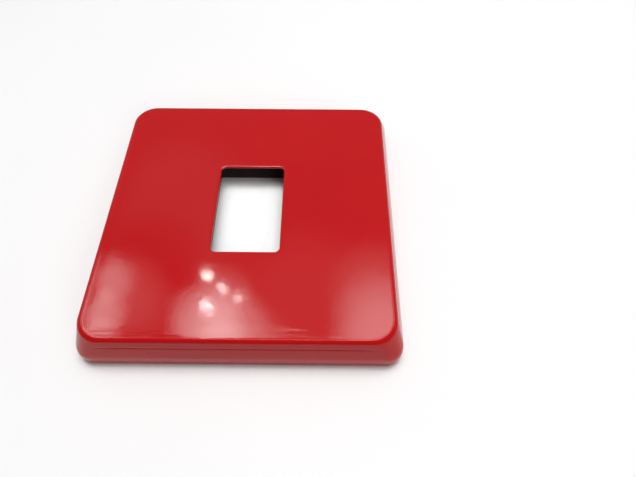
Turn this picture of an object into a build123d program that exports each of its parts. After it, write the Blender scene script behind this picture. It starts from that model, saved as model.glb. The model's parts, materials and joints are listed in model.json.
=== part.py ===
from build123d import *
import math
import os

# Manual call point, surface type: a pressed red steel cover with a portrait
# window over a moulded base that carries a hinged press plate, a trip slider,
# a lever microswitch, a circuit board and a terminal block.
# Millimetres. It lies on its back: +Z out of the face, +Y to the top edge,
# origin at the middle of the back plane.

# ---- driving dimensions ------------------------------------------------
W = 115.0          # side of the square at the rim
H = 15.0           # overall height
SHEET = 1.0        # cover sheet
INSET = 3.1        # how far each side wall leans in, rim to face
H_BEND0, H_BEND1 = 4.0, 7.0   # the walls bend inwards between these heights
R_RIM = 6.0        # plan corner radius at the rim
R_FACE = 9.2       # plan corner radius where wall and face would meet
R_TOP = 1.8        # rolled edge between wall and face
WIN_W, WIN_H, WIN_R = 25.6, 40.0, 2.0     # window
BEAD_Z, BEAD_LEN, BEAD_D = 11.3, 90.0, 0.22  # shallow pressed bead, each wall

BASE_HALF = 55.85  # base plate half side
BASE_Z0, FLOOR = 0.4, 1.9                 # back and top of base floor
POCKET = 1.2       # lowered floor under the press plate
UP_OUT, UP_IN, UP_Z = 54.3, 53.2, 9.0     # upstand round the base

TAPE_L, TAPE_W, TAPE_Y = 62.0, 15.0, 45.2  # foam strips on the back
LINER_T, FOAM_Z = 0.15, 1.75

PLATE_Z0, PLATE_Z1 = 3.2, 5.0             # press plate carrier
PLATE_HX, PLATE_Y0 = 17.0, -26.5
FACE_HX, FACE_HY, FACE_T = 15.3, 22.6, 1.0  # white operating face
HINGE_Y, HINGE_Z, PIN_R, KNUCKLE_R = 33.0, 3.7, 0.8, 1.7
NOSE_Y, DROP = -31.0, 2.0                 # nose centre and its press travel
RAMP = math.radians(30.0)
THETA = DROP / (HINGE_Y - NOSE_Y)         # plate swing
TRAVEL = DROP / math.tan(RAMP)            # slider travel, 3.464

SL_Y0, SL_Y1, SL_Z0, SL_Z1 = -36.4, -27.6, 2.0, 4.6   # trip slider
SL_X0, SL_X1 = -30.0, 33.0
POST_X = (-20.0, 18.0)                    # guide posts through its slots
POST_R = 1.5

PCB_X0, PCB_X1, PCB_Y0, PCB_Y1, PCB_Z = -52.4, -35.5, -46.0, 16.0, 3.4
PCB_T = 1.6
SW_X0, SW_X1, SW_Y0, SW_Y1 = -52.0, -42.0, -44.0, -24.2
SW_Z0, SW_Z1 = 5.0, 11.4
LEV_X, LEV_Y, LEV_L = -41.3, -43.2, 15.0  # lever pivot and reach
TIP_R = 0.55                              # rounded lever tip
PHI = math.asin(TRAVEL / LEV_L)           # lever swing
PLG_Y = -38.2                             # plunger
PLG_TRAVEL = 5.0 * math.tan(PHI)

TB_X0, TB_X1, TB_Y0, PITCH, WAYS, TB_H = -52.0, -44.0, -7.0, 5.08, 4, 8.2
GR_X, GR_Y, GR_HOLE = -42.0, 31.0, 7.0    # cable grommet
SLOT_X, SLOT_R, SLOT_LEN = 30.15, 2.1, 8.0  # wall screw slots, 60.3 apart

os.makedirs("parts", exist_ok=True)


def save(shape, name):
    shape = shape if isinstance(shape, Compound) else Compound(children=[shape]) \
        if isinstance(shape, Solid) else shape
    export_step(shape, "parts/%s.step" % name)


def box(x0, x1, y0, y1, z0, z1):
    return Pos((x0 + x1) / 2, (y0 + y1) / 2, (z0 + z1) / 2) * Box(
        abs(x1 - x0), abs(y1 - y0), abs(z1 - z0))


def rbox(cx, cy, w, h, r, z0, z1):
    return Pos(cx, cy, z0) * extrude(RectangleRounded(w, h, r), z1 - z0)


def zcyl(x, y, r, z0, z1):
    return Pos(x, y, (z0 + z1) / 2) * Cylinder(r, z1 - z0)


def xcyl(y, z, r, x0, x1):
    return Pos((x0 + x1) / 2, y, z) * Rot(0, 90, 0) * Cylinder(r, x1 - x0)


def section(half, r, z):
    return Plane.XY.offset(z) * RectangleRounded(2 * half, 2 * half, r)


def top_edges(s, z):
    return [e for e in s.edges() if abs(e.center().Z - z) < 1e-4]


def prism(points, plane, depth):
    """Closed outline in a plane, pushed both ways by half the depth."""
    return extrude(plane * make_face(Polyline(*points, close=True)),
                   depth / 2, both=True)


def screw(x, y, z, head_r, head_h, shank_r, length, cross=True):
    """Pan screw along Z whose head sits on z."""
    s = zcyl(x, y, head_r, z, z + head_h)
    s = fillet(top_edges(s, z + head_h), head_h * 0.45)
    s += zcyl(x, y, shank_r, z - length, z)
    if cross:
        a, b = head_r * 1.05, head_r * 0.26
        s -= box(x - a / 2, x + a / 2, y - b / 2, y + b / 2,
                 z + head_h * 0.45, z + head_h + 1)
        s -= box(x - b / 2, x + b / 2, y - a / 2, y + a / 2,
                 z + head_h * 0.45, z + head_h + 1)
    else:
        s -= box(x - head_r - 1, x + head_r + 1, y - head_r * 0.17,
                 y + head_r * 0.17, z + head_h * 0.4, z + head_h + 1)
    return s


# ---- cover ---------------------------------------------------------------
# each side wall stands upright at the rim, then bends inwards towards the face
LEAN = (H_BEND1 - H_BEND0) / 2 + H_BEND0
slope = INSET / (H - LEAN)
t_h = SHEET / math.cos(math.atan(slope) / 2)


def inset(z):
    """How far the outside of a wall stands inside the rim at height z."""
    if z <= H_BEND0:
        return 0.0
    if z < H_BEND1:
        return slope * (z - H_BEND0) ** 2 / (2 * (H_BEND1 - H_BEND0))
    return slope * (z - LEAN)


def corner(z):
    """Plan corner radius of the outside at height z."""
    return R_RIM + (R_FACE - R_RIM) * max(0.0, z - H_BEND0) / (H - H_BEND0)


def wall_in(z):
    """Half width of the cover's inside at height z."""
    return W / 2 - inset(z) - t_h


bend = (H_BEND0, LEAN, H_BEND1)
outer = loft([section(W / 2 - inset(z), corner(z), z) for z in (0, *bend, H)],
             ruled=True)
outer = fillet(top_edges(outer, H), R_TOP)
zi = H - SHEET
inner = loft([section(wall_in(z), corner(z) - 1.1, z) for z in (-1, *bend, zi)],
             ruled=True)
inner = fillet(top_edges(inner, zi), R_TOP - 0.9)
cover = outer - inner
cover -= rbox(0, 0, WIN_W, WIN_H, WIN_R, H - 4, H + 2)
lip = [e for e in top_edges(cover, H)
       if abs(e.center().X) < WIN_W / 2 + 1 and abs(e.center().Y) < WIN_H / 2 + 1]
cover = fillet(lip, 0.45)
# one pressed bead along the middle of each wall, a groove outside, a ridge inside
x_out = W / 2 - inset(BEAD_Z)
for k in range(4):
    groove = Pos(x_out + 1.0 - BEAD_D, 0, BEAD_Z) * Rot(90, 0, 0) * \
        Cylinder(1.0, BEAD_LEN)
    ridge = Pos(x_out - SHEET + 0.45 - BEAD_D, 0, BEAD_Z) * Rot(90, 0, 0) * \
        Cylinder(0.45, BEAD_LEN)
    cover = cover + Rot(0, 0, 90 * k) * ridge - Rot(0, 0, 90 * k) * groove
save(cover, "cover")

# ---- base plate ------------------------------------------------------------
base = rbox(0, 0, 2 * BASE_HALF, 2 * BASE_HALF, 5.0, BASE_Z0, FLOOR)
ring = rbox(0, 0, 2 * UP_OUT, 2 * UP_OUT, 6.2, FLOOR - 0.3, UP_Z) \
    - rbox(0, 0, 2 * UP_IN, 2 * UP_IN, 5.1, FLOOR - 1, UP_Z + 1)
base += ring
# raised pads over the two tape recesses
for s in (-1, 1):
    y = s * TAPE_Y
    base += box(-33, 33, y - 8.6, y + 8.1, FLOOR - 0.5, 2.95) if s > 0 else \
        box(-33, 33, y - 8.1, y + 8.6, FLOOR - 0.5, 2.95)
    base -= rbox(0, y, TAPE_L + 0.6, TAPE_W + 0.6, 1.0, -0.5, FOAM_Z)
# floor pocket under the press plate and its nose
base -= box(-18, 18, -27.6, 35.9, POCKET, 3.4)
base -= box(-6, 6, -35.6, -27.0, POCKET, 3.4)
base -= box(-18, 18, 35.0, 36.0, POCKET, 3.4)
# ledge for the short leg of the return spring
base += box(0.6, 3.2, 33.6, 36.2, POCKET - 0.4, 2.1)
# hinge lugs
for s in (-1, 1):
    lug = box(18, 21, HINGE_Y - 2.2, HINGE_Y + 2.2, FLOOR - 0.3, HINGE_Z) \
        + xcyl(HINGE_Y, HINGE_Z, 2.2, 18, 21)
    lug -= xcyl(HINGE_Y, HINGE_Z, PIN_R, 17, 22)
    base += lug if s > 0 else mirror(lug, about=Plane.YZ)
# guide posts for the slider
for x in POST_X:
    base += zcyl(x, -32, POST_R, FLOOR - 0.3, SL_Z1 + 0.1)
    base -= zcyl(x, -32, 0.8, 1.5, SL_Z1 + 1)
# stop ribs at each end of the slider's run and side ribs that guide it
for x0 in (-24.5, 27.0):
    base += box(x0, x0 + 4.0, -27.5, -26.6, FLOOR - 0.3, 4.2)
# post for the detent spring
base += zcyl(42, -32, 3.2, FLOOR - 0.3, 5.3) - zcyl(42, -32, 0.8, 2.4, 6)
# posts for the circuit board
BOARD_SCREWS = ((-38.2, -19.5), (-38.4, 12.6), (-38.1, -43.6))
for x, y in BOARD_SCREWS:
    base += zcyl(x, y, 2.4, FLOOR - 0.3, PCB_Z)
    base -= zcyl(x, y, 0.9, 1.2, PCB_Z + 1)
# cable entry
base += zcyl(GR_X, GR_Y, 11.0, FLOOR - 0.3, 3.4)
base -= zcyl(GR_X, GR_Y, 9.8, -1, FLOOR)
base -= zcyl(GR_X, GR_Y, GR_HOLE, -1, 5)
# wall screw slots with raised rims
for s in (-1, 1):
    slot = Pos(s * SLOT_X, 0, 0) * extrude(
        SlotOverall(SLOT_LEN, 2 * SLOT_R), 6)
    rim = Pos(s * SLOT_X, 0, FLOOR - 0.3) * extrude(
        SlotOverall(SLOT_LEN + 2.6, 2 * SLOT_R + 3.2), 0.9)
    base = base + rim - slot
# stiffening ribs, clear of every mechanism
for x0, x1, y0, y1 in ((24, 53.5, 20.0, 21.2), (24, 53.5, -21.2, -20.0),
                       (38.5, 39.7, -21, 20.5)):
    base += box(x0, x1, y0, y1, FLOOR - 0.3, 5.0)
# seats for the four cover clips
CLIP_W = 10.0
for k in range(4):
    seat = box(UP_OUT - 0.55, UP_OUT + 2, -CLIP_W / 2 - 0.2, CLIP_W / 2 + 0.2,
               3.0, UP_Z + 1) \
        + box(UP_IN - 1, UP_OUT + 2, -CLIP_W / 2 - 0.2, CLIP_W / 2 + 0.2,
              UP_Z - 0.4, UP_Z + 1)
    base -= Rot(0, 0, 90 * k) * seat
save(base, "base_plate")

# ---- cover clips ---------------------------------------------------------
# bent strip over the upstand; its nose stands just above the cover's bead
zn = BEAD_Z + 1.0
xn = wall_in(BEAD_Z) - BEAD_D - 0.12
T = 0.3
top = UP_Z - 0.4
clip_face = make_face(Polyline(
    (UP_IN, 3.6), (UP_IN, top), (UP_OUT - 0.55, top), (UP_OUT - 0.55, 4.2),
    (UP_OUT - 0.25, 4.2), (UP_OUT - 0.25, top + 0.55),
    (xn - 0.5, zn - 1.0), (xn, zn), (xn - 0.95, zn + 0.75),
    (xn - 1.15, zn + 0.5), (xn - 0.42, zn - 0.02), (xn - 0.8, zn - 0.9),
    (UP_OUT - 0.7, top + T), (UP_IN - T, top + T), (UP_IN - T, 3.6),
    close=True))
clip = extrude(Plane.XZ * clip_face, CLIP_W / 2, both=True)
save(Compound(children=[Rot(0, 0, 90 * k) * clip for k in range(4)]),
     "cover_clips")

# ---- tape strips on the back ---------------------------------------------
save(Compound(children=[rbox(0, s * TAPE_Y, TAPE_L, TAPE_W, 0.6, LINER_T, FOAM_Z)
                        for s in (-1, 1)]), "fixing_tape_strips")
save(Compound(children=[rbox(0, s * TAPE_Y, TAPE_L + 0.3, TAPE_W + 0.3, 0.6,
                             0, LINER_T) for s in (-1, 1)]), "tape_liners")

# ---- press plate ---------------------------------------------------------
carrier = rbox(0, (PLATE_Y0 + 30.6) / 2, 2 * PLATE_HX, 30.6 - PLATE_Y0, 1.2,
               PLATE_Z0, PLATE_Z1)
carrier -= rbox(0, 0, 2 * FACE_HX, 2 * FACE_HY, 1.2, PLATE_Z1 - FACE_T,
                PLATE_Z1 + 1)
for x, y in ((-9, 12), (9, 12), (-9, -12), (9, -12)):
    carrier -= zcyl(x, y, 1.3, 2, 6)
arm = box(-16.6, 16.6, 29.5, HINGE_Y, PLATE_Z0, 5.0)
knuckle = xcyl(HINGE_Y, HINGE_Z, KNUCKLE_R, -16.6, 16.6)
carrier += arm + knuckle
carrier -= xcyl(HINGE_Y, HINGE_Z, PIN_R + 0.05, -18, 18)
carrier -= box(-4.2, 4.2, 30.2, 36, 1, 7)
# riser, neck and sloped nose over the slider
carrier += box(-5, 5, PLATE_Y0, PLATE_Y0 + 1.3, PLATE_Z0, 8.4)
carrier += box(-3.4, 5, -34.0, PLATE_Y0 + 1.3, 7.2, 8.4)
gz = 4.77
carrier += prism([(-3.0, 7.6), (1.9, 7.6), (1.9, gz - 1.9 * math.tan(RAMP)),
                  (-3.0, gz + 3.0 * math.tan(RAMP))],
                 Plane.XZ.offset(-NOSE_Y), 3.6)
for x in (-3.2, 3.2):
    carrier += prism([(-26.6, 5.0), (-25.0, 5.0), (-25.0, 5.6), (-26.6, 8.0)],
                     Plane.YZ.offset(x + 0.5), 1.0)
save(carrier, "press_plate_carrier")

face = rbox(0, 0, 2 * FACE_HX - 0.1, 2 * FACE_HY - 0.1, 1.15,
            PLATE_Z1 - FACE_T, PLATE_Z1)
face = chamfer(top_edges(face, PLATE_Z1), 0.25)
for x, y in ((-9, 12), (9, 12), (-9, -12), (9, -12)):
    face += zcyl(x, y, 1.25, PLATE_Z0 + 0.1, PLATE_Z1 - 0.5)
save(face, "operating_face")

pin = xcyl(HINGE_Y, HINGE_Z, PIN_R, -21.4, 21.0) \
    + xcyl(HINGE_Y, HINGE_Z, 1.3, -22.0, -21.0)
save(pin, "hinge_pin")

# torsion spring round the hinge pin, one leg under the plate, one on the floor
WIRE, MEAN, TURNS = 0.45, 1.2, 5.0
PITCH_S = 0.62
helix = Helix(pitch=PITCH_S, height=PITCH_S * TURNS, radius=MEAN)
leg_a = Line(helix @ 0 - (helix % 0) * 9.6, helix @ 0)
leg_b = Line(helix @ 1, helix @ 1 + (helix % 1) * 2.2)
spring = sweep(Plane(origin=leg_a @ 0, z_dir=leg_a % 0) * Circle(WIRE / 2),
               Wire([leg_a, helix, leg_b]))
spring = Pos(-PITCH_S * TURNS / 2, HINGE_Y, HINGE_Z) * Rot(-2.2, 0, 0) * \
    Rot(0, 90, 0) * spring
save(spring, "return_spring")

# ---- trip slider ---------------------------------------------------------
slider = box(SL_X0, SL_X1, SL_Y0, SL_Y1, SL_Z0, SL_Z1)
# ramp block and the opening the nose drops into
slider += prism([(-7.4, 3.0), (-6.6, 6.68), (-3.6, 6.68),
                 (0.0, SL_Z1), (0.0, 3.0)], Plane.XZ.offset(-NOSE_Y), 5.0)
slider -= prism([(0.0, SL_Z1), (4.4, SL_Z1 - 4.4 * math.tan(RAMP)),
                 (4.4, 1.0), (8.6, 1.0), (8.6, 9.0), (0.0, 9.0)],
                Plane.XZ.offset(-NOSE_Y), 4.4)
for x in POST_X:
    cx = x + TRAVEL / 2
    slider -= Pos(cx, -32, 0) * extrude(
        SlotOverall(TRAVEL + 2 * POST_R + 0.3, 2 * POST_R + 0.14), 8)
# arm over the circuit board to the switch lever
slider += box(-30, -26.4, -34.0, SL_Y1, SL_Z0, 9.8)
PUSH_X = LEV_X + LEV_L * math.sin(PHI) + TIP_R + 0.12
slider += box(PUSH_X, -26.4, -31.0, SL_Y1, 6.4, 9.8)
# reset tab for the thumb
slider += box(-13.2, -10.2, SL_Y0, -33.4, SL_Z0, 9.6)
for z in (6.2, 7.4, 8.6):
    slider += box(-13.7, -13.2, SL_Y0, -33.4, z, z + 0.5)
# detent grooves
for x in (26.0, 26.0 + TRAVEL):
    slider -= prism([(x - 0.62, SL_Z1 + 0.01), (x, SL_Z1 - 0.5),
                     (x + 0.62, SL_Z1 + 0.01)], Plane.XZ.offset(32), 12)
save(slider, "trip_slider")

flag = box(21.2, 24.8, -29.3, -27.8, SL_Z1, 6.8) \
    + box(13.3, 24.8, -29.3, -21.5, 6.0, 6.8) \
    + box(13.3, 19.6, -22.0, 18.5, 6.0, 6.8)
flag -= box(14.8, 18.2, -10.0, 10.0, 5.5, 6.25)
save(flag, "alarm_flag")

save(Compound(children=[screw(x, -32, SL_Z1 + 0.1, 2.5, 1.3, 0.8, 3.0)
                        for x in POST_X]), "slider_screws")

# detent leaf with a V that sits in the slider's groove
leaf = prism([(45.0, 5.3), (45.0, 5.6), (30.5, 5.6), (28.2, 5.1), (26.45, 5.0),
              (26.0, 4.5), (25.55, 5.0), (23.6, 5.4), (23.6, 5.1),
              (25.4, 4.75), (26.0, 4.2), (26.6, 4.75), (28.3, 4.85),
              (30.6, 5.3)], Plane.XZ.offset(32), 4.4)
leaf -= zcyl(42, -32, 0.85, 4, 7)
save(leaf, "detent_spring")
save(screw(42, -32, 5.6, 2.2, 1.3, 0.8, 2.6), "detent_screw")

# ---- circuit board -------------------------------------------------------
pcb = rbox((PCB_X0 + PCB_X1) / 2, (PCB_Y0 + PCB_Y1) / 2, PCB_X1 - PCB_X0,
           PCB_Y1 - PCB_Y0, 1.0, PCB_Z, PCB_Z + PCB_T)
for x, y in BOARD_SCREWS:
    pcb -= zcyl(x, y, 1.2, 2, 6)
SW_PINS = [(-48.6, y) for y in (-42.2, -35.0, -27.0)]
TB_PINS = [(-48.0, TB_Y0 + 2.54 + PITCH * i) for i in range(WAYS)]
RES_Y = (-18.5, -13.5)
RES_PINS = [(x, y) for y in RES_Y for x in (-51.0, -42.0)]
for x, y in SW_PINS + TB_PINS:
    pcb -= zcyl(x, y, 0.65, 2, 6)
for x, y in RES_PINS:
    pcb -= zcyl(x, y, 0.4, 2, 6)
save(pcb, "circuit_board")
save(Compound(children=[screw(x, y, PCB_Z + PCB_T, 2.1, 1.4, 0.9, 3.6)
                        for x, y in BOARD_SCREWS]), "board_screws")

# ---- microswitch ---------------------------------------------------------
case = box(SW_X0, SW_X1, SW_Y0, SW_Y1, SW_Z0, SW_Z1 - 1.0)
case -= box(SW_X0 + 1.2, SW_X1 - 1.2, SW_Y0 + 1.2, SW_Y1 - 1.2, SW_Z0 + 1.0,
            SW_Z1)
case -= box(SW_X1 - 1.5, SW_X1 + 1, PLG_Y - 0.9, PLG_Y + 0.9, 6.7, 9.7)
for x, y in SW_PINS:
    case -= zcyl(x, y, 0.5, 4, 8)
# ears for the lever's pin
for z0 in (5.4, 9.75):
    ear = box(SW_X1 - 0.4, LEV_X, LEV_Y - 0.8, LEV_Y + 0.8, z0, z0 + 1.0) \
        + zcyl(LEV_X, LEV_Y, 0.8, z0, z0 + 1.0)
    case += ear
case -= zcyl(LEV_X, LEV_Y, 0.35, 5.6, 12)
case = case - box(SW_X0 - 1, SW_X1 + 3, SW_Y0 - 1, SW_Y1 + 1, SW_Z1 - 0.6, 14)
save(case, "microswitch_case")
lid = box(SW_X0, SW_X1, SW_Y0, SW_Y1, SW_Z1 - 1.0, SW_Z1)
lid -= box(SW_X1 - 0.45, SW_X1 + 1, LEV_Y - 1.0, LEV_Y + 1.0, SW_Z1 - 2, SW_Z1 - 0.55)
for y in (-41.0, -27.2):
    lid -= zcyl(-50.4, y, 0.8, SW_Z1 - 0.4, SW_Z1 + 1)
save(lid, "microswitch_lid")
save(zcyl(LEV_X, LEV_Y, 0.35, 5.6, 10.75), "lever_pin")

# lever, drawn standing off by PHI
lev = box(-0.2, 0.2, 0.6, LEV_L, 7.0, 9.5) + zcyl(0, 0, 0.62, 6.9, 9.6) \
    + zcyl(0, LEV_L, TIP_R, 7.0, 9.5)
lev -= zcyl(0, 0, 0.40, 6, 11)
lev = Pos(LEV_X, LEV_Y, 0) * Rot(0, 0, -math.degrees(PHI)) * lev
save(lev, "microswitch_lever")

plg_x1 = LEV_X + 5.0 * math.tan(PHI) - 0.2 / math.cos(PHI) - 0.25
plunger = box(-44.9, plg_x1 - 0.5, PLG_Y - 0.8, PLG_Y + 0.8, 6.85, 9.55) \
    + Pos(plg_x1 - 0.8, PLG_Y, 8.2) * Cylinder(0.8, 2.7)
plunger += box(-44.9, -43.9, PLG_Y - 1.3, PLG_Y + 1.3, 6.85, 9.55)
save(plunger, "microswitch_plunger")

# snap blade inside the case, between its anchor pin and the contact pins
blade = prism([(-48.13, -42.55), (-45.1, -39.4), (-45.1, -37.0), (-46.8, -27.0),
               (-47.05, -27.05), (-45.35, -36.9), (-45.35, -39.3),
               (-48.13, -42.2)], Plane.XY.offset(8.2), 2.4)
save(blade, "contact_blade")
contacts = [zcyl(x, y, 0.45, 2.2, 9.8) for x, y in SW_PINS]
contacts[1] += box(-48.9, -48.3, -35.4, -34.6, 6.4, 9.8)
contacts[2] += box(-48.9, -47.35, -27.5, -26.5, 6.4, 9.8)
save(Compound(children=contacts), "switch_pins")

# ---- terminal block --------------------------------------------------------
tb = box(TB_X0, TB_X1, TB_Y0, TB_Y0 + PITCH * WAYS, 5.0, 5.0 + TB_H)
tb = chamfer([e for e in top_edges(tb, 5.0 + TB_H)
              if abs(e.center().X - TB_X1) < 0.01], 1.4)
clamps, tscrews, tpins = [], [], []
for x, y in TB_PINS:
    tb -= box(-50.8, TB_X1 + 1, y - 1.9, y + 1.9, 5.9, 10.0)
    tb -= zcyl(x, y, 1.75, 9, 14)
    tb -= zcyl(x, y, 0.5, 4, 7)
    c = box(-50.2, -45.2, y - 1.7, y + 1.7, 6.0, 9.7) \
        - box(-52, -44, y - 1.15, y + 1.15, 6.7, 8.6) - zcyl(x, y, 1.0, 8, 11)
    clamps.append(c)
    tscrews.append(zcyl(x, y, 1.6, 10.7, 12.3) + zcyl(x, y, 1.0, 8.7, 10.8)
                   - box(x - 3, x + 3, y - 0.28, y + 0.28, 11.6, 13))
    tpins.append(zcyl(x, y, 0.45, 2.2, 6.0))
save(tb, "terminal_block")
save(Compound(children=clamps), "terminal_clamps")
save(Compound(children=tscrews), "terminal_screws")
save(Compound(children=tpins), "terminal_pins")

# ---- resistors -------------------------------------------------------------
bodies, leads = [], []
for y in RES_Y:
    bodies.append(xcyl(y, 6.4, 1.05, -48.8, -44.2) + xcyl(y, 6.4, 1.2, -49.7, -48.4)
                  + xcyl(y, 6.4, 1.2, -44.6, -43.3))
    for x, sx in ((-51.0, 1), (-42.0, -1)):
        x_in = -49.7 if sx > 0 else -43.3
        leads.append(zcyl(x, y, 0.25, 2.4, 6.4) + Pos(x, y, 6.4) * Sphere(0.25)
                     + xcyl(y, 6.4, 0.25, min(x, x_in), max(x, x_in)))
save(Compound(children=bodies), "resistor_bodies")
save(Compound(children=leads), "resistor_leads")

# ---- cable grommet ---------------------------------------------------------
g = zcyl(GR_X, GR_Y, 9.2, 0.75, FLOOR) + zcyl(GR_X, GR_Y, GR_HOLE, 1, 4) \
    + zcyl(GR_X, GR_Y, 9.2, 3.4, 4.6)
g = fillet(top_edges(g, 4.6), 0.5)
g -= zcyl(GR_X, GR_Y, 4.0, 0, 6)
save(g, "cable_grommet")

print("plate swing deg %.4f slider %.4f mm lever deg %.4f plunger %.4f mm"
      % (math.degrees(THETA), TRAVEL, math.degrees(PHI), PLG_TRAVEL))
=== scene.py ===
import json
import math

import bmesh
import bpy
import numpy as np
from mathutils import Matrix, Vector


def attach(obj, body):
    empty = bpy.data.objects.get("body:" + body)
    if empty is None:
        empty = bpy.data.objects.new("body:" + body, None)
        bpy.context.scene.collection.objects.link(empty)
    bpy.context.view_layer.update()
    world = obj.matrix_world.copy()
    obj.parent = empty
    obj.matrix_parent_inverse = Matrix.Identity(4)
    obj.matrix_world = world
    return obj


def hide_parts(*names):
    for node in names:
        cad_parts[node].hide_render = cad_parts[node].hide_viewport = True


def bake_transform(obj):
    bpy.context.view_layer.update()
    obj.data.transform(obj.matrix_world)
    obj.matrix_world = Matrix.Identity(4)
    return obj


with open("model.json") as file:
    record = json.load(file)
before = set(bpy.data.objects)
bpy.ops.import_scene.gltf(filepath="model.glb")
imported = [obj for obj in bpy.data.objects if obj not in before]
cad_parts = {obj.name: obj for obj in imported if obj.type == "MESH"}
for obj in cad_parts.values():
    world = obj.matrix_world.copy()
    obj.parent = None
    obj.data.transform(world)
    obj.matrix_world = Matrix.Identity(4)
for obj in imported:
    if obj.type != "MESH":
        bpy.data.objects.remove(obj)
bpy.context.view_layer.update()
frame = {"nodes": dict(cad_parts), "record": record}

MM = 0.001
W, H = 115.0, 15.0            # cover side and height, mm
INSET, R_RIM, R_FACE, R_TOP = 3.1, 6.0, 9.2, 1.8
BEND0, BEND1, BEND = 4.0, 7.0, 5.5   # the walls bend inwards between these heights
SHEET = 1.0
WIN_W, WIN_H, WIN_R = 25.6, 40.0, 2.0
BEAD_Z, BEAD_HALF = 11.3, 50.0

# ------------------------------------------------------------------ camera
SIDE = W * MM
CAM = Vector((0.2403, -0.8985, 1.4164)) * SIDE
PITCH, YAW, ROLL = math.radians(58.91), math.radians(-0.37), math.radians(-0.19)
fwd = Vector((math.sin(YAW) * math.cos(PITCH), math.cos(YAW) * math.cos(PITCH),
              -math.sin(PITCH)))
right = Vector((math.cos(YAW), -math.sin(YAW), 0.0))
down = fwd.cross(right)
r2 = right * math.cos(ROLL) + down * math.sin(ROLL)
d2 = down * math.cos(ROLL) - right * math.sin(ROLL)
rot = Matrix((r2, -d2, -fwd)).transposed()
cam_data = bpy.data.cameras.new("camera")
cam_data.sensor_width = 36.0
cam_data.lens = 461.45 / 636.0 * 36.0
cam_data.clip_start = 0.01
cam = bpy.data.objects.new("camera", cam_data)
cam.matrix_world = Matrix.Translation(CAM) @ rot.to_4x4()
bpy.context.scene.collection.objects.link(cam)
bpy.context.scene.camera = cam


# ------------------------------------------------------- node tree helpers
class Tree:
    """Small helper that builds a material's node tree."""

    def __init__(self, name):
        self.mat = bpy.data.materials.new(name)
        self.mat.use_nodes = True
        self.nt = self.mat.node_tree
        self.nt.nodes.clear()
        self.out = self.nt.nodes.new("ShaderNodeOutputMaterial")
        self.bsdf = self.nt.nodes.new("ShaderNodeBsdfPrincipled")
        self.nt.links.new(self.bsdf.outputs[0], self.out.inputs[0])
        self.coord = self.nt.nodes.new("ShaderNodeTexCoord").outputs["Object"]

    def node(self, kind, **kw):
        n = self.nt.nodes.new(kind)
        for k, v in kw.items():
            setattr(n, k, v)
        return n

    def put(self, sock, v):
        if isinstance(v, bpy.types.NodeSocket):
            self.nt.links.new(v, sock)
        else:
            sock.default_value = v

    def mapped(self, scale=(1, 1, 1), rot=(0, 0, 0), loc=(0, 0, 0)):
        n = self.node("ShaderNodeMapping")
        self.put(n.inputs["Vector"], self.coord)
        n.inputs["Scale"].default_value = scale
        n.inputs["Rotation"].default_value = rot
        n.inputs["Location"].default_value = loc
        return n.outputs[0]

    def noise(self, scale, detail=3.0, rough=0.55, vec=None, distort=0.0):
        n = self.node("ShaderNodeTexNoise")
        self.put(n.inputs["Vector"], vec if vec is not None else self.coord)
        n.inputs["Scale"].default_value = scale
        n.inputs["Detail"].default_value = detail
        n.inputs["Roughness"].default_value = rough
        n.inputs["Distortion"].default_value = distort
        return n.outputs["Fac"]

    def voronoi(self, scale, feature="F1", vec=None):
        n = self.node("ShaderNodeTexVoronoi", feature=feature)
        self.put(n.inputs["Vector"], vec if vec is not None else self.coord)
        n.inputs["Scale"].default_value = scale
        return n.outputs["Distance"]

    def span(self, v, a, b, c=0.0, d=1.0, smooth=False):
        n = self.node("ShaderNodeMapRange",
                      interpolation_type="SMOOTHSTEP" if smooth else "LINEAR")
        self.put(n.inputs["Value"], v)
        for k, x in (("From Min", a), ("From Max", b), ("To Min", c), ("To Max", d)):
            self.put(n.inputs[k], x)
        return n.outputs["Result"]

    def math(self, op, a, b=0.0, c=0.0):
        n = self.node("ShaderNodeMath", operation=op)
        for i, x in enumerate((a, b, c)):
            if i < len(n.inputs):
                self.put(n.inputs[i], x)
        return n.outputs[0]

    def mix(self, f, a, b):
        n = self.node("ShaderNodeMix", data_type="RGBA")
        self.put(n.inputs[0], f)
        for s, x in ((n.inputs[6], a), (n.inputs[7], b)):
            if isinstance(x, bpy.types.NodeSocket):
                self.nt.links.new(x, s)
            else:
                s.default_value = tuple(x) + (1.0,) * (4 - len(x))
        return n.outputs[2]

    def axes(self, vec=None):
        n = self.node("ShaderNodeSeparateXYZ")
        self.put(n.inputs[0], vec if vec is not None else self.coord)
        return n.outputs

    def bump(self, height, strength, distance, normal=None):
        n = self.node("ShaderNodeBump")
        self.put(n.inputs["Height"], height)
        n.inputs["Strength"].default_value = strength
        n.inputs["Distance"].default_value = distance
        if normal is not None:
            self.put(n.inputs["Normal"], normal)
        return n.outputs[0]

    def edge(self, radius):
        n = self.node("ShaderNodeBevel", samples=4)
        n.inputs["Radius"].default_value = radius
        return n.outputs[0]

    def set(self, **kw):
        names = {"base": "Base Color", "metal": "Metallic", "rough": "Roughness",
                 "ior": "IOR", "spec": "Specular IOR Level", "coat": "Coat Weight",
                 "coat_rough": "Coat Roughness", "normal": "Normal",
                 "coat_normal": "Coat Normal", "aniso": "Anisotropic",
                 "sss": "Subsurface Weight", "sss_scale": "Subsurface Scale",
                 "sheen": "Sheen Weight", "sheen_rough": "Sheen Roughness",
                 "trans": "Transmission Weight"}
        for k, v in kw.items():
            if k == "base" and not isinstance(v, bpy.types.NodeSocket):
                v = tuple(v) + (1.0,)
            self.put(self.bsdf.inputs[names[k]], v)
        return self.mat


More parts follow.
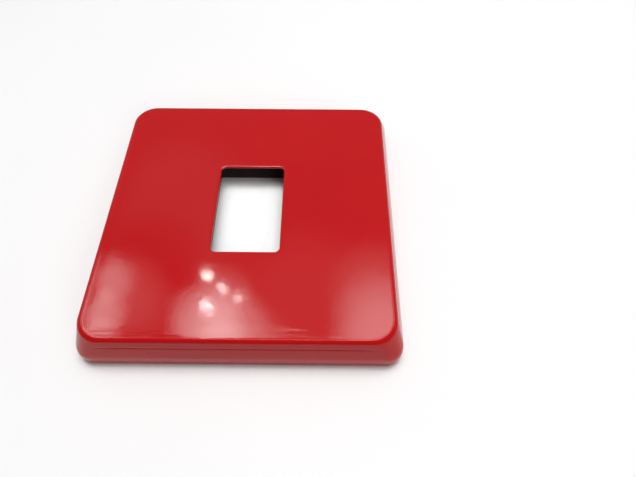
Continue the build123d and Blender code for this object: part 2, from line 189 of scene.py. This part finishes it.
def moulded(name, col, rough=0.42, grain=2600.0, amp=0.00002, var=0.12,
            edge=0.00012, sss=0.0, streak=0.0, spec=0.5):
    """Moulded plastic: spark texture, flow variation, slightly worn edges."""
    t = Tree(name)
    big = t.noise(38.0, 4.0, 0.6)
    fine = t.noise(grain, 2.0, 0.6)
    mid = t.noise(420.0, 3.0, 0.6)
    dark = [c * (1.0 - var) for c in col]
    light = [min(1.0, c * (1.0 + var) + 0.004) for c in col]
    base = t.mix(t.span(big, 0.35, 0.68), dark, light)
    if streak:
        flow = t.noise(1.0, 3.0, 0.6, vec=t.mapped((60, 900, 300)))
        base = t.mix(t.math("MULTIPLY", t.span(flow, 0.45, 0.75), streak), base, light)
    r = t.math("ADD", t.span(mid, 0.3, 0.7, rough - 0.06, rough + 0.06),
               t.span(big, 0.3, 0.7, -0.03, 0.05))
    nrm = t.bump(fine, 0.35, amp, t.edge(edge))
    kw = dict(base=base, rough=r, normal=nrm, ior=1.5, spec=spec)
    if sss:
        kw.update(sss=sss, sss_scale=0.002)
    return t.set(**kw)


def metal(name, col, rough=0.28, brush=(1, 60, 60), var=0.12, tint=None,
          edge=0.00008, scratch=0.25):
    """Plated or bright steel with a drawn grain, dulling and fine scratches."""
    t = Tree(name)
    grain = t.noise(1.0, 4.0, 0.65, vec=t.mapped(tuple(80.0 * b for b in brush)))
    cloud = t.noise(160.0, 4.0, 0.6)
    a = [c * (1 - var) for c in col]
    b = [min(1.0, c * (1 + var)) for c in col]
    base = t.mix(t.span(cloud, 0.3, 0.7), a, b)
    if tint:
        base = t.mix(t.span(t.noise(90.0, 3.0), 0.45, 0.72, 0.0, 0.55), base, tint)
    r = t.math("ADD", t.span(grain, 0.3, 0.7, rough - 0.08, rough + 0.1),
               t.span(cloud, 0.4, 0.8, 0.0, 0.12))
    nrm = t.bump(grain, scratch, 0.00002, t.edge(edge))
    return t.set(base=base, metal=1.0, rough=r, normal=nrm)


# --------------------------------------------------------------- materials
def red_enamel():
    """Stoved red enamel: orange peel, pin-fine grain, a few dust nibs."""
    t = Tree("red_enamel")
    big = t.noise(22.0, 3.0, 0.5)
    peel = t.noise(620.0, 2.0, 0.5)
    grain = t.noise(2300.0, 2.0, 0.6)
    wave = t.noise(46.0, 2.0, 0.5)
    base = t.mix(t.span(big, 0.3, 0.7), (0.415, 0.0034, 0.0050), (0.445, 0.0044, 0.0060))
    # dust caught in the paint: sparse tiny nibs
    cell = t.node("ShaderNodeTexVoronoi", feature="F1")
    t.put(cell.inputs["Vector"], t.coord)
    cell.inputs["Scale"].default_value = 95.0
    pick = t.node("ShaderNodeSeparateColor")
    t.put(pick.inputs[0], cell.outputs["Color"])
    rare = t.math("GREATER_THAN", pick.outputs[0], 0.86)
    nib = t.math("MULTIPLY", rare,
                 t.span(cell.outputs["Distance"], 0.02, 0.045, 1.0, 0.0, True))
    base = t.mix(t.math("MULTIPLY", nib, 0.30), base, (0.78, 0.42, 0.38))
    rough = t.math("ADD", t.span(big, 0.3, 0.7, 0.045, 0.060),
                   t.span(grain, 0.3, 0.7, -0.01, 0.015))
    # long shallow ripples along the front margin of the pressing
    ax, ay, az = t.axes()
    near = t.span(ay, -0.0535, -0.0435, 1.0, 0.0, True)
    ripple = t.math("MULTIPLY", near, t.noise(1.0, 2.0, 0.5, vec=t.mapped((45, 330, 45))))
    n0 = t.bump(ripple, 0.35, 0.00022)
    n1 = t.bump(wave, 0.10, 0.0006, n0)
    n2 = t.bump(peel, 0.12, 0.00006, n1)
    n3 = t.bump(grain, 0.5, 0.0000055, n2)
    n4 = t.bump(nib, 0.35, 0.00006, n3)
    return t.set(base=base, rough=rough, normal=n4, ior=1.36, spec=0.5)


def red_inside():
    """Thin overspray on the inside of the pressing."""
    t = Tree("red_inside")
    big = t.noise(30.0, 4.0, 0.6)
    fine = t.noise(1500.0, 3.0, 0.7)
    base = t.mix(t.span(big, 0.35, 0.7), (0.10, 0.010, 0.010), (0.24, 0.012, 0.013))
    base = t.mix(t.span(t.noise(300.0, 3.0), 0.62, 0.74, 0.0, 0.35), base, (0.07, 0.065, 0.065))
    n = t.bump(fine, 0.4, 0.00004)
    return t.set(base=base, rough=t.span(big, 0.3, 0.7, 0.42, 0.6), normal=n, ior=1.5)


def white_face():
    """Satin white plate with faint grey streaks of painted shade, sink marks over its pegs."""
    t = Tree("white_face")
    big = t.noise(55.0, 4.0, 0.6)
    fine = t.noise(3000.0, 2.0, 0.5)
    # soft grey streaks mixed into the white stand in for shadow smudges: painted shade
    grey_streak_painted_shade = t.noise(1.0, 3.0, 0.6, vec=t.mapped((230, 70, 70), rot=(0, 0, 0.25)))
    base = t.mix(t.span(big, 0.35, 0.7), (0.90, 0.905, 0.90), (0.93, 0.93, 0.925))
    base = t.mix(t.span(grey_streak_painted_shade, 0.60, 0.78, 0.0, 0.22), base, (0.70, 0.71, 0.72))
    nrm = t.bump(fine, 0.2, 0.000012, t.edge(0.00015))
    return t.set(base=base, rough=t.span(big, 0.3, 0.7, 0.30, 0.40), normal=nrm,
                 ior=1.5, sss=0.15, sss_scale=0.0015)


def solder_mask():
    """Green circuit board with copper tracks under the mask."""
    t = Tree("solder_mask")
    x, y, z = t.axes()
    weave = t.noise(900.0, 2.0, 0.5)
    # two sets of straight tracks, broken by coarse cells
    tracks = t.math("LESS_THAN", t.math("PINGPONG", t.math("ADD", x, 0.0002), 0.00125), 0.00032)
    cross = t.math("LESS_THAN", t.math("PINGPONG", t.math("ADD", y, 0.0007), 0.0034), 0.00034)
    cell = t.node("ShaderNodeTexVoronoi", feature="F1", distance="CHEBYCHEV")
    t.put(cell.inputs["Vector"], t.coord)
    cell.inputs["Scale"].default_value = 120.0
    c = t.node("ShaderNodeSeparateColor")
    t.put(c.inputs[0], cell.outputs["Color"])
    pick = t.math("GREATER_THAN", c.outputs[0], 0.45)
    cu = t.math("MULTIPLY", pick, t.math("MAXIMUM", tracks, cross))
    base = t.mix(cu, (0.006, 0.085, 0.032), (0.030, 0.20, 0.075))
    base = t.mix(t.span(weave, 0.5, 0.8, 0.0, 0.35), base, (0.012, 0.12, 0.05))
    n = t.bump(cu, 0.5, 0.00003, t.edge(0.0001))
    return t.set(base=base, rough=t.span(weave, 0.3, 0.7, 0.24, 0.36), normal=n,
                 coat=0.3, coat_rough=0.12, ior=1.5)


def foam():
    """Cream closed-cell foam tape with a cut side."""
    t = Tree("foam_tape")
    cells = t.voronoi(2600.0)
    big = t.noise(70.0, 3.0)
    base = t.mix(t.span(big, 0.3, 0.7), (0.80, 0.775, 0.70), (0.86, 0.84, 0.77))
    # darker in the cell pits: painted shade in the pores
    base = t.mix(t.span(cells, 0.1, 0.6, 0.25, 0.0), base, (0.60, 0.57, 0.49))
    n = t.bump(cells, 0.6, 0.00008)
    return t.set(base=base, rough=0.85, normal=n, ior=1.4, sss=0.2, sss_scale=0.001)


def liner():
    """Bluish white release paper with faint fibre and handling creases."""
    t = Tree("release_liner")
    fibre = t.noise(1.0, 4.0, 0.65, vec=t.mapped((900, 300, 300), rot=(0, 0, 0.6)))
    crease = t.voronoi(70.0, "DISTANCE_TO_EDGE")
    big = t.noise(28.0, 3.0)
    base = t.mix(t.span(fibre, 0.3, 0.7), (0.80, 0.83, 0.90), (0.87, 0.89, 0.94))
    # darker along the crease lines: painted shade in the creases
    base = t.mix(t.span(crease, 0.0, 0.03, 0.25, 0.0), base, (0.68, 0.71, 0.79))
    h = t.math("ADD", t.math("MULTIPLY", fibre, 0.3),
               t.math("MULTIPLY", t.span(crease, 0.0, 0.08), 0.7))
    n = t.bump(h, 0.25, 0.00008, t.bump(big, 0.3, 0.0012))
    return t.set(base=base, rough=t.span(big, 0.3, 0.7, 0.30, 0.42), normal=n, ior=1.45)


def rubber():
    t = Tree("rubber")
    fine = t.noise(1800.0, 3.0, 0.7)
    bloom = t.noise(80.0, 4.0, 0.6)
    base = t.mix(t.span(bloom, 0.4, 0.75), (0.016, 0.016, 0.017), (0.05, 0.05, 0.052))
    n = t.bump(fine, 0.4, 0.00004, t.edge(0.0002))
    return t.set(base=base, rough=t.span(bloom, 0.3, 0.7, 0.6, 0.78), normal=n, ior=1.5)


M = {
    "red_paint": red_enamel(),
    "base_black": moulded("base_black", (0.030, 0.030, 0.033), 0.48, var=0.2),
    # the carrier's near-black warm-tinted colour stands in for the shade band under the
    # window's top edge: painted shade
    "carrier_black": moulded("carrier_black", (0.060, 0.050, 0.046), 0.46, var=0.2),
    "face_white": white_face(),
    "slider_grey": moulded("slider_grey", (0.30, 0.32, 0.34), 0.36, var=0.08, sss=0.1),
    "flag_yellow": moulded("flag_yellow", (0.83, 0.50, 0.012), 0.40, var=0.07, sss=0.1),
    "spring_steel": metal("spring_steel", (0.60, 0.60, 0.59), 0.22),
    "zinc_steel": metal("zinc_steel", (0.66, 0.67, 0.68), 0.27, brush=(30, 30, 30),
                        tint=(0.60, 0.58, 0.44)),
    "foam_cream": foam(),
    "liner_paper": liner(),
    "board_green": solder_mask(),
    "switch_black": moulded("switch_black", (0.022, 0.022, 0.024), 0.44, var=0.2),
    "switch_lid": moulded("switch_lid", (0.13, 0.012, 0.010), 0.40, var=0.12),
    "plunger_red": moulded("plunger_red", (0.55, 0.02, 0.015), 0.35, var=0.1),
    "tin_brass": metal("tin_brass", (0.72, 0.68, 0.58), 0.30, var=0.1,
                       tint=(0.62, 0.47, 0.25)),
    "terminal_green": moulded("terminal_green", (0.028, 0.19, 0.075), 0.34, var=0.1, sss=0.05),
    "resistor_blue": moulded("resistor_blue", (0.20, 0.40, 0.55), 0.3, var=0.06),
    "rubber_black": rubber(),
}
node_slot = {s["node"]: s["material_slot"] for s in frame["record"]["subparts"]}


def dress(obj, mat):
    obj.data.materials.clear()
    obj.data.materials.append(mat)


for node, obj in frame["nodes"].items():
    dress(obj, M[node_slot[node]])


# ---------------------------------------------------------------- the cover
def loop(hx, hy, r, z, n_arc, n_x, n_y):
    """Points round a rounded rectangle, the same count for every size."""
    pts = []
    corners = ((1, 1), (-1, 1), (-1, -1), (1, -1))
    for k, (sx, sy) in enumerate(corners):
        cx, cy = sx * (hx - r), sy * (hy - r)
        a0 = math.radians(90 * k)
        for i in range(n_arc + 1):
            a = a0 + math.radians(90) * i / n_arc
            pts.append((cx + r * math.cos(a), cy + r * math.sin(a), z))
        nx, ny = corners[(k + 1) % 4]
        ex, ey = nx * (hx - r), ny * (hy - r)
        a = a0 + math.radians(90)
        p0 = Vector((cx + r * math.cos(a), cy + r * math.sin(a)))
        p1 = Vector((ex + r * math.cos(a), ey + r * math.sin(a)))
        n = n_x if k in (0, 2) else n_y
        for i in range(1, n):
            # points crowd a little towards the ends
            u = i / n
            u = u - 0.06 * math.sin(2 * math.pi * u)
            p = p0.lerp(p1, u)
            pts.append((p.x, p.y, z))
    return pts


def smooth01(x):
    x = min(1.0, max(0.0, x))
    return x * x * (3 - 2 * x)


def inset(z):
    """How far the outside of a wall stands inside the rim at height z, mm."""
    s = INSET / (H - BEND)
    if z <= BEND0:
        return 0.0
    if z < BEND1:
        return s * (z - BEND0) ** 2 / (2 * (BEND1 - BEND0))
    return s * (z - BEND)


def wall_r(z):
    return R_RIM + (R_FACE - R_RIM) * max(0.0, z - BEND0) / (H - BEND0)


def build_cover():
    NA, NX, NY = 14, 44, 44
    slope = INSET / (H - BEND)
    lean = math.atan(slope)
    loops = []
    prof = []                       # (inset from rim square, z, plan radius)
    e = 0.28                        # rounded raw edge at the rim
    for i in range(5):
        a = math.radians(90) * i / 4
        prof.append((e - e * math.sin(a), e - e * math.cos(a),
                     R_RIM - (e - e * math.sin(a))))
    zs = list(np.linspace(0.8, 3.6, 4)) + list(np.linspace(4.0, 7.0, 10)) \
        + list(np.linspace(7.6, 9.8, 4)) + list(np.linspace(10.1, 12.7, 19)) + [13.2, 13.6]
    for z in zs:
        prof.append((inset(z), z, wall_r(z)))
    # rolled edge: arc tangent to the wall and to the face
    sweep_a = math.radians(90) - lean
    t_len = R_TOP * math.tan(sweep_a / 2)
    cx, cz = INSET + t_len, H - R_TOP
    for i in range(0, 13):
        th = (math.pi - lean) - (math.pi / 2 - lean) * i / 12
        x = cx + R_TOP * math.cos(th)
        z = cz + R_TOP * math.sin(th)
        prof.append((x, z, wall_r(z) - (x - slope * (z - BEND)) * 0.9))
    n_out = len(prof)
    x_face = prof[-1][0]
    for x, z, r in prof:
        loops.append(loop(W / 2 - x, W / 2 - x, r, z, NA, NX, NY))
    # the flat face, loops shrinking to the window's lip
    lip = 0.70
    a = np.array(loops[-1])
    b = np.array(loop(WIN_W / 2 + lip, WIN_H / 2 + lip, WIN_R + lip, H, NA, NX, NY))
    steps = [0.012, 0.03, 0.055, 0.09, 0.14, 0.2, 0.27, 0.35, 0.43, 0.51, 0.59, 0.67,
             0.74, 0.80, 0.85, 0.89, 0.92, 0.945, 0.965, 0.982]
    for s in steps:
        loops.append([tuple(p) for p in (a * (1 - s) + b * s)])
    # lip into the window, cut side, back to the inside
    for o, z in ((0.70, 15.0), (0.66, 14.997), (0.60, 14.985), (0.50, 14.961), (0.35, 14.925),
                 (0.19, 14.887), (0.14, 14.865), (0.085, 14.81), (0.04, 14.71),
                 (0.01, 14.56)):
        loops.append(loop(WIN_W / 2 + o, WIN_H / 2 + o, WIN_R + o, z, NA, NX, NY))
    n_lip = len(loops)
    for z, o in ((14.28, 0.0), (14.1, 0.03), (14.0, 0.14)):
        loops.append(loop(WIN_W / 2 + o, WIN_H / 2 + o, WIN_R + o, z, NA, NX, NY))
    t_h = SHEET / math.cos(lean / 2)
    zi, ri = H - SHEET, R_TOP - 0.9
    tl = ri * math.tan(sweep_a / 2)
    cxi = t_h + inset(zi) + tl
    a = np.array(loops[-1])
    half = W / 2 - cxi
    b = np.array(loop(half, half, wall_r(zi) - 1.1 - tl * 0.9, zi, NA, NX, NY))
    for s in (0.1, 0.3, 0.55, 0.8, 1.0):
        loops.append([tuple(p) for p in (a * (1 - s) + b * s)])
    for i in range(1, 7):
        th = math.pi / 2 + (math.pi / 2 - lean) * i / 6
        x = cxi + ri * math.cos(th)
        z = zi - ri + ri * math.sin(th)
        loops.append(loop(W / 2 - x, W / 2 - x,
                          wall_r(z) - 1.1 - (x - t_h - slope * (z - BEND)) * 0.9,
                          z, NA, NX, NY))
    for z in (12.3, 11.9, 11.6, 11.3, 11.0, 10.7, 10.3, 8.5, 7.0, 6.2, 5.5, 4.8, 4.0, 2.0, 0.3):
        x = t_h + inset(z)
        loops.append(loop(W / 2 - x, W / 2 - x, wall_r(z) - 1.1, z, NA, NX, NY))
    x = t_h - 0.28
    loops.append(loop(W / 2 - x, W / 2 - x, R_RIM - 0.85, 0.0, NA, NX, NY))

    N = len(loops[0])
    co = np.array(loops)            # (loops, N, 3) in mm
    # the pressed bead: a soft shallow fold that fades before the corners
    for li in range(co.shape[0]):
        for k in range(N):
            x, y, z = co[li, k]
            if not 9.9 < z < 12.9:
                continue
            if abs(x) > abs(y):
                along, ax = y, 0
            else:
                along, ax = x, 1
            f = smooth01((BEAD_HALF - abs(along)) / 7.0)
            if f <= 0:
                continue
            g = math.exp(-((z - BEAD_Z) / 0.34) ** 2) * 0.20 \
                - math.exp(-((z - BEAD_Z - 0.75) / 0.5) ** 2) * 0.045
            sign = 1 if co[li, k, ax] > 0 else -1
            co[li, k, ax] -= sign * g * f
    # the pressing isn't perfectly flat: faint swell round the window and a
    # little fall towards the rolled edge
    for li in range(n_out - 1, n_lip):
        for k in range(N):
            x, y, z = co[li, k]
            dx = max(0.0, abs(x) - WIN_W / 2)
            dy = max(0.0, abs(y) - WIN_H / 2)
            d = math.hypot(dx, dy)
            swell = 0.010 * math.exp(-((d - 3.6) / 1.9) ** 2)
            edge = W / 2 - max(abs(x), abs(y)) - x_face
            fall = -0.045 * math.exp(-(max(edge, 0.0) / 3.2) ** 2)
            co[li, k, 2] += swell + fall - 0.002
    top = co[..., 2].max()
    if top > H:
        co[..., 2] = np.where(co[..., 2] > 13.5, co[..., 2] - (top - H), co[..., 2])
    bm = bmesh.new()
    vs = [[bm.verts.new(Vector(co[i, k]) * MM) for k in range(N)] for i in range(co.shape[0])]
    faces = []
    L = co.shape[0]
    for i in range(L):
        j = (i + 1) % L
        for k in range(N):
            k2 = (k + 1) % N
            f = bm.faces.new((vs[i][k], vs[i][k2], vs[j][k2], vs[j][k]))
            f.smooth = True
            f.material_index = 1 if n_lip <= i < L - 1 else 0
    bm.normal_update()
    bmesh.ops.recalc_face_normals(bm, faces=bm.faces)
    me = bpy.data.meshes.new("cover_pressing")
    bm.to_mesh(me)
    bm.free()
    ob = bpy.data.objects.new("cover_pressing", me)
    bpy.context.scene.collection.objects.link(ob)
    me.materials.append(M["red_paint"])
    me.materials.append(red_inside())
    return ob


cover = build_cover()
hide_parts("cover")
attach(cover, "cover")

# ------------------------------------------- springs copied from their CAD shapes
def springy(node, name):
    """A spring from its CAD shape, copied out as a separate object in place of the CAD part."""
    me = frame["nodes"][node].data.copy()
    me.name = name
    ob = bpy.data.objects.new(name, me)
    bpy.context.scene.collection.objects.link(ob)
    dress(ob, M[node_slot[node]])
    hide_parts(node)
    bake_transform(ob)
    return ob


springy("return_spring", "return_spring_wire")
springy("contact_blade", "contact_blade_leaf")


# ------------------------------------------------------------------- floor
def build_floor():
    bm = bmesh.new()
    bmesh.ops.create_grid(bm, x_segments=4, y_segments=4, size=3.0)
    for v in bm.verts:
        v.co.z = -0.0001
    me = bpy.data.meshes.new("floor")
    bm.to_mesh(me)
    bm.free()
    ob = bpy.data.objects.new("floor", me)
    bpy.context.scene.collection.objects.link(ob)
    # a plain pale table
    t = Tree("floor_white")
    n = t.noise(6.0, 2.0)
    t.set(base=t.mix(t.span(n, 0.3, 0.7), (0.81, 0.81, 0.81), (0.83, 0.83, 0.83)),
          rough=0.6, ior=1.3)
    ob.data.materials.append(t.mat)
    return ob


floor = build_floor()

# -------------------------------------------------------------- the lights
world = bpy.data.worlds.new("studio")
bpy.context.scene.world = world
world.use_nodes = True
nt = world.node_tree
nt.nodes.clear()
w_out = nt.nodes.new("ShaderNodeOutputWorld")
w_bg = nt.nodes.new("ShaderNodeBackground")
nt.links.new(w_bg.outputs[0], w_out.inputs[0])
w_co = nt.nodes.new("ShaderNodeTexCoord")
w_norm = nt.nodes.new("ShaderNodeVectorMath")
w_norm.operation = "NORMALIZE"
nt.links.new(w_co.outputs["Generated"], w_norm.inputs[0])


def w_math(op, a, b=0.0):
    n = nt.nodes.new("ShaderNodeMath")
    n.operation = op
    for s, v in zip(n.inputs, (a, b)):
        if isinstance(v, bpy.types.NodeSocket):
            nt.links.new(v, s)
        else:
            s.default_value = v
    return n.outputs[0]


def w_range(v, a, b, c, d):
    n = nt.nodes.new("ShaderNodeMapRange")
    n.interpolation_type = "SMOOTHSTEP"
    nt.links.new(v, n.inputs["Value"])
    for k, x in (("From Min", a), ("From Max", b), ("To Min", c), ("To Max", d)):
        n.inputs[k].default_value = x
    return n.outputs["Result"]


def direction(el, az):
    """Unit vector; azimuth 0 is +Y, positive towards +X, degrees."""
    e, a = math.radians(el), math.radians(az)
    return Vector((math.cos(e) * math.sin(a), math.cos(e) * math.cos(a), math.sin(e)))


def blob(el, az, inner, outer, power):
    """A soft round patch of light in the sky."""
    d = nt.nodes.new("ShaderNodeVectorMath")
    d.operation = "DOT_PRODUCT"
    nt.links.new(w_norm.outputs[0], d.inputs[0])
    d.inputs[1].default_value = direction(el, az)
    return w_range(d.outputs["Value"], math.cos(math.radians(outer)),
                   math.cos(math.radians(inner)), 0.0, power)


sep = nt.nodes.new("ShaderNodeSeparateXYZ")
nt.links.new(w_norm.outputs[0], sep.inputs[0])
# a pale room behind the object, dim on the viewer's side
level = w_range(sep.outputs[1], -0.25, 0.35, 0.10, 0.42)
for args in (
        # soft panels of light, each a short row of round patches
        (55.0, -46.3, 0.2, 3.2, 4.6), (57.2, -52.0, 0.2, 3.2, 6.2),
        (58.9, -55.8, 0.2, 3.0, 3.6), (57.5, -47.0, 0.5, 6.5, 1.3),
        (64.5, 17.0, 0.3, 7.0, 1.5), (68.0, 22.5, 0.3, 7.6, 4.4),
        (71.5, 28.0, 0.3, 8.0, 2.4),
        (77.0, -16.0, 2.0, 6.5, 10.0), (77.0, 16.0, 2.0, 6.5, 10.0),
        (65.6, -34.5, 0.3, 5.0, 8.4), (67.2, -28.5, 0.3, 5.2, 4.2),
        (70.5, -26.0, 0.3, 5.8, 3.0), (70.0, -36.0, 0.3, 5.0, 3.8),
        (63.5, -27.0, 0.3, 4.0, 2.2), (52.5, -26.5, 2.0, 10.0, 0.35),
        (66.0, -5.0, 2.0, 10.0, 0.4), (55.5, -35.0, 0.5, 6.0, -0.30)):
    level = w_math("ADD", level, blob(*args))
level = w_math("MAXIMUM", level, 0.03)
nt.links.new(level, w_bg.inputs["Strength"])
w_bg.inputs["Color"].default_value = (1.0, 0.985, 0.985, 1.0)


def area(name, loc, size, power, target=(0, 0, 0.01), size_y=None, spread=180.0,
         shape="DISK", colour=(1, 1, 1)):
    d = bpy.data.lights.new(name, "AREA")
    d.energy = power
    d.size = size
    d.shape = shape
    if size_y:
        d.shape = "RECTANGLE"
        d.size_y = size_y
    d.spread = math.radians(spread)
    d.color = colour
    o = bpy.data.objects.new(name, d)
    o.location = loc
    o.rotation_euler = (Vector(target) - Vector(loc)).to_track_quat("-Z", "Y").to_euler()
    bpy.context.scene.collection.objects.link(o)
    return o


key = area("key_overhead", (0.16, 0.22, 1.0), 0.70, 6.4)
fill = area("fill_front", (0.50, -0.80, 0.62), 0.60, 2.8)
for lamp in (key, fill):
    lamp.visible_glossy = False
# four small lamps that show as a cluster of glints on the face
area("lamp_a", (-0.249, 0.406, 0.9), 0.020, 0.085, colour=(1.0, 0.97, 0.86))
area("lamp_b", (-0.210, 0.373, 0.9), 0.022, 0.045)
area("lamp_c", (-0.169, 0.350, 0.9), 0.020, 0.024)
area("lamp_d", (-0.241, 0.330, 0.9), 0.022, 0.062)

bpy.context.scene.view_settings.view_transform = "Standard"
bpy.context.scene.view_settings.look = "None"
